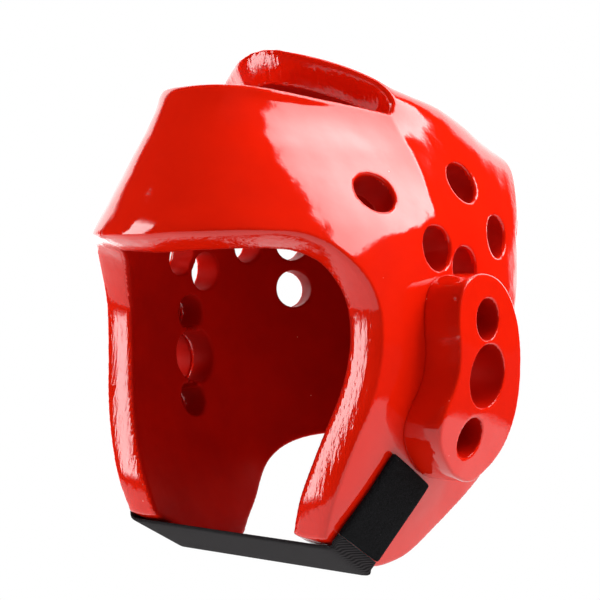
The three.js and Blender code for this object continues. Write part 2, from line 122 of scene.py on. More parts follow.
FACE_RIM: tuple[Edge, ...] = (
    Edge((-1.000, 0.376), (0, 25)),
    Edge((-0.985, 0.375), (16, 25)),
    Edge((-0.930, 0.372), (30, 25)),
    Edge((-0.820, 0.370), (42, 25)),
    Edge((-0.700, 0.373), (50, 25)),
    Edge((-0.620, 0.388), (57, 24)),
    Edge((-0.568, 0.407), (65, 21)),
    Edge((-0.511, 0.437), (76, 17)),
    Edge((-0.467, 0.470), (84, 11)),
    Edge((-0.438, 0.509), (89, 5)),
    Edge((-0.429, 0.558), (90, 1)),
    Edge((-0.437, 0.616), (90, 0)),
    Edge((-0.460, 0.672), (90, 0)),
    Edge((-0.493, 0.734), (90, 0)),
    Edge((-0.514, 0.792), (90, 0)),
    Edge((-0.523, 0.839), (90, 0)),
    Edge((-0.519, 0.876), (90, 0)),
    Edge((-0.505, 0.917), (90, 0)),
)

BAND_TOP: tuple[Edge, ...] = (
    Edge((0.00, 0.099), (0, 28)),
    Edge((0.20, 0.099), (10, 28)),
    Edge((0.38, 0.101), (22, 28)),
    Edge((0.54, 0.106), (34, 29)),
    Edge((0.68, 0.113), (44, 30)),
    Edge((0.81, 0.121), (54, 31)),
    Edge((0.92, 0.130), (62, 32)),
    Edge((1.00, 0.138), (70, 33)),
)

CROWN_FRONT: tuple[Edge, ...] = (
    Edge((0.00, 0.008), (0, 74)),
    Edge((1.00, 0.010), (8, 73)),
    Edge((1.00, 0.018), (18, 71)),
    Edge((1.00, 0.030), (28, 68)),
    Edge((1.00, 0.045), (38, 64)),
    Edge((1.00, 0.062), (48, 59)),
    Edge((1.00, 0.084), (58, 52)),
    Edge((1.04, 0.112), (68, 44)),
)

LOWER_EDGE: tuple[tuple[float, float], ...] = (
    (-0.505, 0.917), (-0.36, 0.952), (-0.22, 0.984), (-0.14, 0.996), (-0.03, 0.994),
    (0.07, 0.981), (0.20, 0.939), (0.34, 0.880), (0.47, 0.834), (0.62, 0.806), (0.78, 0.795),
    (1.15, 0.790),
)

VENTS: tuple[tuple[float, float], ...] = (
    (-0.315, 0.295), (-0.088, 0.396), (0.200, 0.266), (0.390, 0.370), (0.096, 0.434),
    (0.700, 0.370), (0.710, 0.481),
)

PAD_OUTLINE: tuple[tuple[float, float], ...] = (
    (-0.13, 0.0), (0.07, 0.018), (0.22, 0.075), (0.34, 0.165), (0.43, 0.285), (0.475, 0.43),
    (0.485, 0.59), (0.455, 0.74), (0.375, 0.86), (0.24, 0.945), (0.05, 1.0), (-0.17, 0.962),
    (-0.34, 0.885), (-0.47, 0.79), (-0.51, 0.70), (-0.485, 0.62), (-0.43, 0.545), (-0.39, 0.46),
    (-0.39, 0.35), (-0.41, 0.23), (-0.39, 0.125), (-0.31, 0.04),
)


def monotone_curve(knots: np.ndarray, values: np.ndarray, at: np.ndarray) -> np.ndarray:
    """Smooth values between knots, with no overshoot.

    Args:
        knots: Rising places of the known values.
        values: The known values, one row for each knot.
        at: Places to work out.

    Returns:
        One row of values for each place.
    """
    span = np.diff(knots)[:, None]
    slope = np.diff(values, axis=0) / span
    tangent = np.empty_like(values)
    tangent[0], tangent[-1] = slope[0], slope[-1]
    before, after = slope[:-1], slope[1:]
    w1 = 2 * span[1:] + span[:-1]
    w2 = span[1:] + 2 * span[:-1]
    rising = before * after > 0
    safe_before = np.where(rising, before, 1.0)
    safe_after = np.where(rising, after, 1.0)
    mean = (w1 + w2) / (w1 / safe_before + w2 / safe_after)
    tangent[1:-1] = np.where(rising, mean, 0.0)
    index = np.clip(np.searchsorted(knots, at, side="right") - 1, 0, len(knots) - 2)
    h = span[index]
    u = ((np.clip(at, knots[0], knots[-1]) - knots[index])[:, None]) / h
    return (
        (2 * u**3 - 3 * u**2 + 1) * values[index]
        + (u**3 - 2 * u**2 + u) * h * tangent[index]
        + (3 * u**2 - 2 * u**3) * values[index + 1]
        + (u**3 - u**2) * h * tangent[index + 1]
    )


def spline(points: np.ndarray, count: int, closed: bool = False) -> np.ndarray:
    """Points along a smooth curve through the given points.

    Args:
        points: The curve's own points, one row each.
        count: How many steps to take along it.
        closed: Whether the curve comes back to its start.

    Returns:
        The points along the curve, without the repeated end where it is closed.
    """
    size = len(points)
    if closed:
        around = np.vstack([points[-1], points, points[0], points[1]])
        spans = size
    else:
        around = np.vstack([2 * points[0] - points[1], points, 2 * points[-1] - points[-2]])
        spans = size - 1
    place = np.linspace(0, spans, count, endpoint=not closed)
    index = np.minimum(place.astype(int), spans - 1)
    u = (place - index)[:, None]
    a, b, c, d = (around[index + k] for k in range(4))
    return 0.5 * (
        2 * b + (c - a) * u + (2 * a - 5 * b + 4 * c - d) * u**2 + (3 * b - a - 3 * c + d) * u**3
    )


def soften(values: np.ndarray, reach: float) -> np.ndarray:
    """Averages each column with a bell curve.

    Args:
        values: One row for each even step.
        reach: The bell's spread, in steps.

    Returns:
        The softened rows.
    """
    half = int(3 * reach)
    weight = np.exp(-0.5 * (np.arange(-half, half + 1) / reach) ** 2)
    weight /= weight.sum()
    padded = np.pad(values, ((half, half), (0, 0)), mode="reflect", reflect_type="odd")
    return np.stack([np.convolve(column, weight, "valid") for column in padded.T], axis=1)


def mirrored(points: np.ndarray) -> np.ndarray:
    """The points on the other side of the middle."""
    return points * np.array([-1.0, 1.0, 1.0])


def whole_ring(half: np.ndarray) -> Ring:
    """Half a ring from front to rear, made whole."""
    return np.vstack([half, mirrored(half[1:-1][::-1])])


@dataclass
class Wall:
    """The shell's outer wall, as a surface of t round it and height z, in metres."""

    half_width: float = 95 * MM
    front_reach: float = 125 * MM
    rear_reach: float = 124 * MM
    height: float = 262 * MM
    foam: float = 17 * MM
    crest_lip: float = 7.5 * MM
    grain: int = 1400
    softness: float = 0.013
    table: np.ndarray = field(init=False)

    def __post_init__(self) -> None:
        """Works out the section's values at small even steps down the wall."""
        knots = self.descent(np.array([s.drop for s in SECTIONS]))
        values = np.array([
            (s.front, *s.ridge, *s.turn, *s.corner, *s.bend, s.rear, s.full) for s in SECTIONS
        ])
        places = np.linspace(0, knots[-1], self.grain)
        self.table = soften(monotone_curve(knots, values, places), self.softness / places[1])

    @staticmethod
    def descent(drop: np.ndarray) -> np.ndarray:
        """The way down the wall, which runs slowly in height where the crown is nearly level."""
        return np.sqrt(np.maximum(drop - SECTIONS[0].drop, 0))

    def rows(self, count: int) -> np.ndarray:
        """Heights of rows at even steps down the wall."""
        steps = np.linspace(0, float(self.descent(np.array(SECTIONS[-1].drop))), count)
        return self.z(SECTIONS[0].drop + steps**2)

    @property
    def crest_top(self) -> float:
        """Height of the drop of nought."""
        return self.foam + self.crest_lip

    @property
    def top(self) -> float:
        """Height of the first section."""
        return float(self.z(SECTIONS[0].drop))

    @property
    def bottom(self) -> float:
        """Height of the last section."""
        return float(self.z(SECTIONS[-1].drop))

    def z(self, drop: float | np.ndarray) -> np.ndarray:
        """Height of a drop."""
        return self.crest_top - np.asarray(drop, float) * self.height

    def y(self, share: float | np.ndarray) -> np.ndarray:
        """Place from front to rear of a share of the reach."""
        share = np.asarray(share, float)
        return share * np.where(share < 0, self.front_reach, self.rear_reach)

    def section(self, z: np.ndarray) -> dict[str, np.ndarray]:
        """The outline's named points at each height.

        Args:
            z: Heights.

        Returns:
            Arrays of plan points and angles by name.
        """
        way = self.descent((self.crest_top - z) / self.height)
        last = self.descent(np.array(SECTIONS[-1].drop))
        place = np.clip(way / last, 0, 1) * (self.grain - 1)
        low = np.minimum(place.astype(int), self.grain - 2)
        share = (place - low)[..., None]
        row = self.table[low] * (1 - share) + self.table[low + 1] * share
        zero = np.zeros(z.shape)
        return {
            "front": np.stack([zero, -row[..., 0] * self.front_reach], -1),
            "ridge": np.stack([row[..., 1] * self.half_width, self.y(row[..., 2])], -1),
            "turn": row[..., 3:5],
            "corner": np.stack([row[..., 5] * self.half_width, self.y(row[..., 6])], -1),
            "bend": row[..., 7:9],
            "rear": np.stack([zero, self.y(row[..., 9])], -1),
            "full": row[..., 10],
        }

    def point(self, t: np.ndarray, z: np.ndarray) -> np.ndarray:
        """Points of the wall.

        Args:
            t: 0 at the front, 1 at the ridge, 2 at the rear corner and 3 at the rear.
            z: Heights, in the same shape.

        Returns:
            Points, one more axis deep.
        """
        t, z = np.broadcast_arrays(np.asarray(t, float), np.asarray(z, float))
        s = self.section(z)

        def along(facing: np.ndarray) -> np.ndarray:
            """The way to the rear along a wall that faces an angle."""
            angle = np.radians(facing)
            return np.stack([-np.sin(angle), np.cos(angle)], -1)

        front, ridge, corner, rear = s["front"], s["ridge"], s["corner"], s["rear"]
        full = s["full"][..., None]
        depth = (ridge - front)[..., 1:2]
        side = np.linalg.norm(corner - ridge, axis=-1, keepdims=True) * 0.36
        back = np.linalg.norm(corner - rear, axis=-1, keepdims=True) * 0.42
        level = np.concatenate([ridge[..., :1] * full, front[..., 1:]], -1)
        behind = np.concatenate([back, rear[..., 1:]], -1)
        pieces = (
            (front, level, ridge - along(s["turn"][..., 0]) * depth * full, ridge),
            (ridge, ridge + along(s["turn"][..., 1]) * side,
             corner - along(s["bend"][..., 0]) * side, corner),
            (corner, corner + along(s["bend"][..., 1]) * back, behind, rear),
        )
        number = np.clip(np.floor(t), 0, 2)
        u = (t - number)[..., None]
        flat = np.zeros(front.shape)
        for k, (a, b, c, d) in enumerate(pieces):
            curve = (1 - u)**3 * a + 3 * (1 - u)**2 * u * b + 3 * (1 - u) * u**2 * c + u**3 * d
            flat = np.where((number == k)[..., None], curve, flat)
        return np.concatenate([flat, z[..., None]], -1)

    def normal(self, t: np.ndarray, z: np.ndarray, step: float = 0.04,
               rise: float = 2.6 * MM) -> np.ndarray:
        """The way the wall faces, averaged a little.

        Args:
            t: Places round the wall.
            z: Heights, in the same shape.
            step: How far to each side in t the wall is sampled.
            rise: How far up and down it is sampled.

        Returns:
            Unit vectors.
        """
        t, z = np.broadcast_arrays(np.asarray(t, float), np.asarray(z, float))
        across = self.point(np.minimum(t + step, 3), z) - self.point(np.maximum(t - step, 0), z)
        up = (
            self.point(t, np.minimum(z + rise, self.top))
            - self.point(t, np.maximum(z - rise, self.bottom))
        )
        facing = np.cross(across, up)
        middle = (t <= 0) | (t >= 3)
        facing[..., 0] = np.where(middle, 0.0, facing[..., 0])
        return facing / np.linalg.norm(facing, axis=-1, keepdims=True)

    def t_at(self, y: np.ndarray, z: np.ndarray) -> np.ndarray:
        """Where round the wall a given y lies, at each height."""
        y, z = np.broadcast_arrays(np.asarray(y, float), np.asarray(z, float))
        low, high = np.zeros(y.shape), np.full(y.shape, 3.0)
        for _ in range(30):
            middle = (low + high) / 2
            below = self.point(middle, z)[..., 1] < y
            low = np.where(below, middle, low)
            high = np.where(below, high, middle)
        return low

    def foot(self, y: np.ndarray, z: np.ndarray) -> np.ndarray:
        """Point of the wall at a given y and height."""
        return self.point(self.t_at(y, z), z)

    def spot(self, y: np.ndarray, z: np.ndarray) -> tuple[np.ndarray, np.ndarray]:
        """Point and facing of the wall at a given y and height."""
        t = self.t_at(y, z)
        return self.point(t, z), self.normal(t, z)


def select_only(piece: bpy.types.Object) -> None:
    """Selects one object and makes it active."""
    bpy.ops.object.select_all(action="DESELECT")
    piece.select_set(True)
    bpy.context.view_layer.objects.active = piece


def new_object(name: str, data: bpy.types.ID) -> bpy.types.Object:
    """A new object in the scene, with its data."""
    piece = bpy.data.objects.new(name, data)
    bpy.context.scene.collection.objects.link(piece)
    return piece


def finished(name: str, bm: bmesh.types.BMesh) -> bpy.types.Object:
    """A new object from a mesh under construction, which is let go."""
    mesh = bpy.data.meshes.new(name)
    bm.to_mesh(mesh)
    bm.free()
    return new_object(name, mesh)


def mesh_object(name: str, points: np.ndarray, faces: list[tuple[int, ...]]) -> bpy.types.Object:
    """A new object from points and faces, with its normals turned outwards."""
    mesh = bpy.data.meshes.new(name)
    mesh.from_pydata(points.tolist(), [], faces)
    bm = bmesh.new()
    bm.from_mesh(mesh)
    bmesh.ops.remove_doubles(bm, verts=bm.verts, dist=1e-6)
    bmesh.ops.recalc_face_normals(bm, faces=bm.faces)
    bm.to_mesh(mesh)
    bm.free()
    return new_object(name, mesh)


def skin(name: str, rings: list[Ring]) -> bpy.types.Object:
    """A closed body from rings of points.

    Args:
        name: The object's name.
        rings: Rings with the same number of points each.

    Returns:
        The body, closed at both ends by fans.
    """
    count = len(rings[0])
    points = np.vstack([*rings, rings[0].mean(0), rings[-1].mean(0)])
    top, foot = len(points) - 2, len(points) - 1
    faces: list[tuple[int, ...]] = []
    for row in range(len(rings) - 1):
        for i in range(count):
            a = row * count + i
            b = row * count + (i + 1) % count
            faces.append((a, a + count, b + count, b))
    last = (len(rings) - 1) * count
    for i in range(count):
        faces.append((top, i, (i + 1) % count))
        faces.append((foot, last + (i + 1) % count, last + i))
    return mesh_object(name, points, faces)


def apply_modifier(piece: bpy.types.Object, kind: str, **values: object) -> None:
    """Adds a modifier, sets its values and applies it."""
    modifier = piece.modifiers.new(kind.title(), kind)
    for key, value in values.items():
        setattr(modifier, key, value)
    select_only(piece)
    bpy.ops.object.modifier_apply(modifier=modifier.name)


def boolean(piece: bpy.types.Object, tool: bpy.types.Object, operation: str) -> None:
    """Cuts or joins a piece with a tool, and removes the tool."""
    apply_modifier(piece, "BOOLEAN", operation=operation, solver="MANIFOLD", object=tool)
    bpy.data.objects.remove(tool)


def dip(piece: bpy.types.Object, core: bpy.types.Object, voxel: float, radius: float) -> None:
    """Rounds a body's edges as a dip coat does, and removes the core.

    Args:
        piece: The body with sharp edges.
        core: The same body, smaller by the radius all over.
        voxel: Size of the new faces.
        radius: Radius of the rounded edges.
    """
    apply_modifier(piece, "REMESH", mode="VOXEL", voxel_size=voxel, adaptivity=0.0,
                   use_smooth_shade=True)
    mesh = piece.data
    tree = BVHTree.FromObject(core, bpy.context.evaluated_depsgraph_get())
    points = [v.co.copy() for v in mesh.vertices]
    normals = [v.normal.copy() for v in mesh.vertices]
    moved = np.empty((len(points), 3))
    for k, (point, normal) in enumerate(zip(points, normals)):
        foot, facing, _, _ = tree.find_nearest(point)
        away = point - foot
        sure = away.length > 0.4 * radius and away.dot(facing) > 0
        moved[k] = foot + (away.normalized() if sure else normal) * radius
    mesh.vertices.foreach_set("co", moved.ravel())
    mesh.update()
    apply_modifier(piece, "SMOOTH", factor=0.5, iterations=3)
    mesh.shade_smooth()
    bpy.data.objects.remove(core)


def inset(outline: np.ndarray, distance: float) -> np.ndarray:
    """A closed flat outline moved inwards.

    Args:
        outline: Its points in order.
        distance: How far it moves.

    Returns:
        The moved points.
    """
    ahead, behind = np.roll(outline, -1, axis=0), np.roll(outline, 1, axis=0)
    way = ahead - behind
    way /= np.linalg.norm(way, axis=1, keepdims=True)
    area = 0.5 * np.sum(outline[:, 0] * ahead[:, 1] - outline[:, 1] * ahead[:, 0])
    inward = np.column_stack([-way[:, 1], way[:, 0]]) * np.sign(area)
    return outline + inward * distance


def cylinder(name: str, middle: np.ndarray, way: np.ndarray, diameter: float,
             length: float) -> bpy.types.Object:
    """A round pin about a middle point, along a way."""
    bpy.ops.object.select_all(action="DESELECT")
    turn = Vector(way).to_track_quat("Z", "Y").to_euler()
    bpy.ops.mesh.primitive_cylinder_add(
        vertices=64, radius=diameter / 2, depth=length, location=Vector(middle), rotation=turn
    )
    pin = bpy.context.object
    pin.name = name
    bpy.ops.object.transform_apply(location=True, rotation=True, scale=True)
    return pin


def cross_plate(name: str, outline: np.ndarray, half: float) -> bpy.types.Object:
    """A plate across the whole width with a side-view outline of y and z."""
    rings = [np.column_stack([np.full(len(outline), x), outline]) for x in (-half, half)]
    count = len(outline)
    points = np.vstack(rings)
    faces: list[tuple[int, ...]] = [tuple(range(count)), tuple(range(2 * count - 1, count - 1, -1))]
    for i in range(count):
        j = (i + 1) % count
        faces.append((i, j, count + j, count + i))
    return mesh_object(name, points, faces)


def mirrored_copy(piece: bpy.types.Object, name: str) -> bpy.types.Object:
    """A copy of a piece on the other side, with its own mesh."""
    other = piece.copy()
    other.data = piece.data.copy()
    other.name = name
    bpy.context.scene.collection.objects.link(other)
    bm = bmesh.new()
    bm.from_mesh(other.data)
    bmesh.ops.scale(bm, vec=(-1, 1, 1), verts=bm.verts)
    bmesh.ops.reverse_faces(bm, faces=bm.faces)
    bm.to_mesh(other.data)
    bm.free()
    return other


@dataclass
class DippedFoam:
    """The shell with its openings and holes.

    skin_reach is the depth over which the outer skin gives way to a cut face, rim_crown is how far
    a cut face stands out in its middle, and inner_depth and inner_fade are shares of the foam.
    """

    wall: Wall
    vent: float = 22 * MM
    voxel: float = 1.1 * MM
    radius: float = 1.35 * MM
    edge_steps: int = 12
    skin_reach: float = 1.6 * MM
    rim_crown: float = 0.7 * MM
    inner_depth: float = 0.93
    inner_fade: float = 0.04

    def body(self, name: str, offset: float, rows: int, stations: int) -> bpy.types.Object:
        """The wall moved out by an offset, as a closed body."""
        t = np.linspace(0, 3, 3 * stations + 1)
        grid_t, grid_z = np.meshgrid(t, self.wall.rows(rows))
        grid = self.wall.point(grid_t, grid_z)
        if offset:
            grid = grid + self.wall.normal(grid_t, grid_z) * offset
        return skin(name, [whole_ring(row) for row in grid])

    def hollow(self, grow: float) -> bpy.types.Object:
        """The space inside the foam, smoother than the outside, grown by a distance."""
        t = np.linspace(0, 3, 31)
        grid_t, grid_z = np.meshgrid(t, self.wall.rows(34))
        facing = self.wall.normal(grid_t, grid_z, 0.12, 9 * MM)
        grid = self.wall.point(grid_t, grid_z) - facing * (self.wall.foam - grow)
        for _ in range(4):
            inner = grid.copy()
            around = grid[:-2, 1:-1] + grid[2:, 1:-1] + grid[1:-1, :-2] + grid[1:-1, 2:]
            inner[1:-1, 1:-1] = 0.5 * grid[1:-1, 1:-1] + 0.125 * around
            ends = 0.5 * (grid[:-2, [0, -1]] + grid[2:, [0, -1]])
            inner[1:-1, [0, -1]] = 0.5 * grid[1:-1, [0, -1]] + 0.5 * ends
            grid = inner
        piece = skin("hollow", [whole_ring(row) for row in grid])
        apply_modifier(piece, "SUBSURF", levels=2, render_levels=2)
        return piece

    def lines(self, edges: tuple[Edge, ...], points: np.ndarray, depths: list[float], grow: float,
              round_middle: bool = False) -> np.ndarray:
        """Lines through the wall along an edge, smooth over the middle and between its places.

        Args:
            edges: The edge's places on the left half, from the middle on.
            points: Their points on the wall.
            depths: How far along the cut each point of a line lies.
            grow: How far the cut moves up and back into the foam, or the other way below nought.
            round_middle: Whether the middle comes from its neighbours, as one round curve.

        Returns:
            Points by line and depth.
        """
        turned = np.radians([e.cut[0] for e in edges])
        down = np.radians([e.cut[1] for e in edges])
        way = np.column_stack([
            -np.sin(turned) * np.cos(down), np.cos(turned) * np.cos(down), -np.sin(down)
        ])
        half = np.hstack([points, way])
        if round_middle:
            half[0] = (9 * half[1] - half[2]) / 8
            half[0, [0, 3]] = 0
        other = half[1:][::-1] * np.array([-1, 1, 1, -1, 1, 1])
        steps = self.edge_steps * (len(half) - 1)
        through = spline(np.vstack([other, half]), 2 * steps + 1)[steps:]
        facing = through[:, 3:] / np.linalg.norm(through[:, 3:], axis=1, keepdims=True)
        tangent = np.gradient(through[:, :3], axis=0)
        tangent /= np.linalg.norm(tangent, axis=1, keepdims=True)
        side = np.cross(tangent, facing)
        side /= np.linalg.norm(side, axis=1, keepdims=True)
        side[0, 0] = 0
        foot = through[:, :3] + side * grow
        foot[0, 0] = 0
        facing[0, 0] = 0
        foot[-1] += tangent[-1] * abs(grow)
        return foot[:, None, :] + facing[:, None, :] * np.array(depths)[None, :, None]

    def face_cutter(self, grow: float) -> bpy.types.Object:
        """The face opening's tool: along its edge, ahead, and down between the jaws."""
        wall, foam = self.wall, self.wall.foam
        at = np.array([e.at for e in FACE_RIM])
        points, _ = wall.spot(wall.y(at[:, 0]), wall.z(at[:, 1]))
        points[0, 0] = 0
        lines = self.lines(FACE_RIM, points, [1.5 * foam, 0, -1.8 * foam], grow)
        below = lines[-1] + np.array([0, 0, -wall.height / 4])
        middle = below * np.array([0, 1, 1])
        lines = np.concatenate([lines, below[None], middle[None]])
        loops = [whole_ring(lines[:, depth]) for depth in range(3)]
        ahead = loops[-1].copy()
        ahead[:, 1] = -1.6 * wall.front_reach
        return skin("face_cut", [*loops, ahead])

    def crescent_cutter(self, grow: float) -> bpy.types.Object:
        """The tool of the crescent between the band and the crown."""
        wall, foam = self.wall, self.wall.foam
        depths = [1.5 * foam, 0.75 * foam, 0, -foam]
        sides = []
        for edges, sign in ((CROWN_FRONT, 1), (BAND_TOP, -1)):
            at = np.array([e.at for e in edges])
            points = wall.point(at[:, 0], wall.z(at[:, 1]))
            sides.append(self.lines(edges, points, depths, sign * grow, edges is CROWN_FRONT))
        bars = np.concatenate([sides[0], sides[1][:, ::-1]], axis=1)
        return skin("crescent_cut", [*bars[1:][::-1], *mirrored(bars)])

    def neck_cutter(self, grow: float) -> bpy.types.Object:
        """All that lies below the jaw and the neck."""
        wall = self.wall
        edge = np.array(LOWER_EDGE)
        curve = spline(np.column_stack([wall.y(edge[:, 0]), wall.z(edge[:, 1])]), 160)
        front, rear = -1.5 * wall.front_reach, 1.5 * wall.rear_reach
        floor = wall.bottom - wall.foam
        outline = np.vstack([
            [front, curve[0, 1]], curve, [rear, curve[-1, 1]], [rear, floor], [front, floor]
        ])
        return cross_plate("neck_cut", inset(outline, -grow), 2 * wall.half_width)

    def pins(self, holes: list[tuple[float, float, float]], grow: float, length: float) -> bpy.types.Object:
        """Pins square to the wall on both sides, as one tool.

        Args:
            holes: Side-view place and diameter of each hole.
            grow: How much larger each radius is.
            length: Length of the pins.

        Returns:
            The tool.
        """
        made = []
        for y, z, diameter in holes:
            point, way = self.wall.spot(np.array(y), np.array(z))
            for side in Side:
                flip = np.array([side.value, 1, 1])
                made.append(cylinder("pin", point * flip, way * flip, diameter + 2 * grow, length))
        bpy.ops.object.select_all(action="DESELECT")
        for pin in made:
            pin.select_set(True)
        bpy.context.view_layer.objects.active = made[0]
        bpy.ops.object.join()
        return made[0]

    def solid(self, name: str, pads: "EarPads", grow: float) -> bpy.types.Object:
        """The shell with sharp edges.

        Args:
            name: The object's name.
            pads: The ear pads, whose holes go on through the shell.
            grow: How much smaller the shell is all over.

        Returns:
            The body.
        """
        shell = self.body(name, -grow, 300, 84)
        boolean(shell, self.hollow(grow), "DIFFERENCE")
        boolean(shell, self.face_cutter(grow), "DIFFERENCE")
        boolean(shell, self.crescent_cutter(grow), "DIFFERENCE")
        boolean(shell, self.neck_cutter(grow), "DIFFERENCE")
        boolean(shell, self.pins(self.holes(pads), grow, 3 * self.wall.foam), "DIFFERENCE")
        return shell

    def holes(self, pads: "EarPads") -> list[tuple[float, float, float]]:
        """Side-view place and diameter of each vent and each ear hole."""
        wall = self.wall
        return [(float(wall.y(y)), float(wall.z(drop)), self.vent) for y, drop in VENTS] + pads.holes()

    def build(self, pads: "EarPads") -> bpy.types.Object:
        """Makes the shell and rounds its edges."""
        shell = self.solid("dipped_shell", pads, 0.0)
        dip(shell, self.solid("shell_core", pads, self.radius), self.voxel, self.radius)
        finish_faces(shell, self, self.holes(pads))
        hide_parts("shell")
        return shell


@dataclass
class EarPads:
    """The raised pads over the ears."""

    wall: Wall
    height: float = 102 * MM
    width: float = 68 * MM
    thickness: float = 20 * MM
    ear_hole: float = 31 * MM
    ear_vent: float = 20 * MM
    reach: float = 0.02
    low_end: float = -193.6 * MM
    seat: float = 0.35 * MM
    voxel: float = 0.8 * MM
    radius: float = 1.1 * MM

    def place(self, y: float, down: float) -> tuple[float, float]:
        """Side-view place of a share of the pad's width and height."""
        return (
            float(self.wall.y(self.reach)) + y * self.width,
            self.low_end + (1 - down) * self.height,
        )

    def holes(self) -> list[tuple[float, float, float]]:
        """Side-view place and diameter of each hole."""
        return [
            (*self.place(-0.04, 0.215), self.ear_vent),
            (*self.place(-0.01, 0.468), self.ear_hole),
            (*self.place(-0.11, 0.725), self.ear_vent),
        ]

    def solid(self, name: str, foam: DippedFoam, grow: float) -> bpy.types.Object:
        """The left pad with sharp edges.

        Args:
            name: The object's name.
            foam: The shell that it sits on.
            grow: How much smaller the pad is all over.

        Returns:
            The body.
        """
        outline = spline(np.array([self.place(*p) for p in PAD_OUTLINE]), 220, closed=True)
        pad = cross_plate(name, inset(outline, grow), 2 * self.wall.half_width)
        boolean(pad, foam.body("pad_top", self.thickness - grow, 260, 70), "INTERSECT")
        boolean(pad, foam.body("pad_base", grow - self.seat, 260, 70), "DIFFERENCE")
        bm = bmesh.new()
        bm.from_mesh(pad.data)
        bmesh.ops.delete(bm, geom=[v for v in bm.verts if v.co.x < 0], context="VERTS")
        bm.to_mesh(pad.data)
        bm.free()
        boolean(pad, foam.pins(self.holes(), grow, 4 * self.thickness), "DIFFERENCE")
        return pad

    def build(self, foam: DippedFoam) -> list[bpy.types.Object]:
        """Makes both pads and rounds their edges.

        Args:
            foam: The shell that they sit on.

        Returns:
            The left and the right pad.
        """
        left = self.solid("ear_cushion_left", foam, 0.0)
        dip(left, self.solid("cushion_core", foam, self.radius), self.voxel, self.radius)
        right = mirrored_copy(left, "ear_cushion_right")
        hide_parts("ear_pad_left")
        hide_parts("ear_pad_right")
        return [left, right]


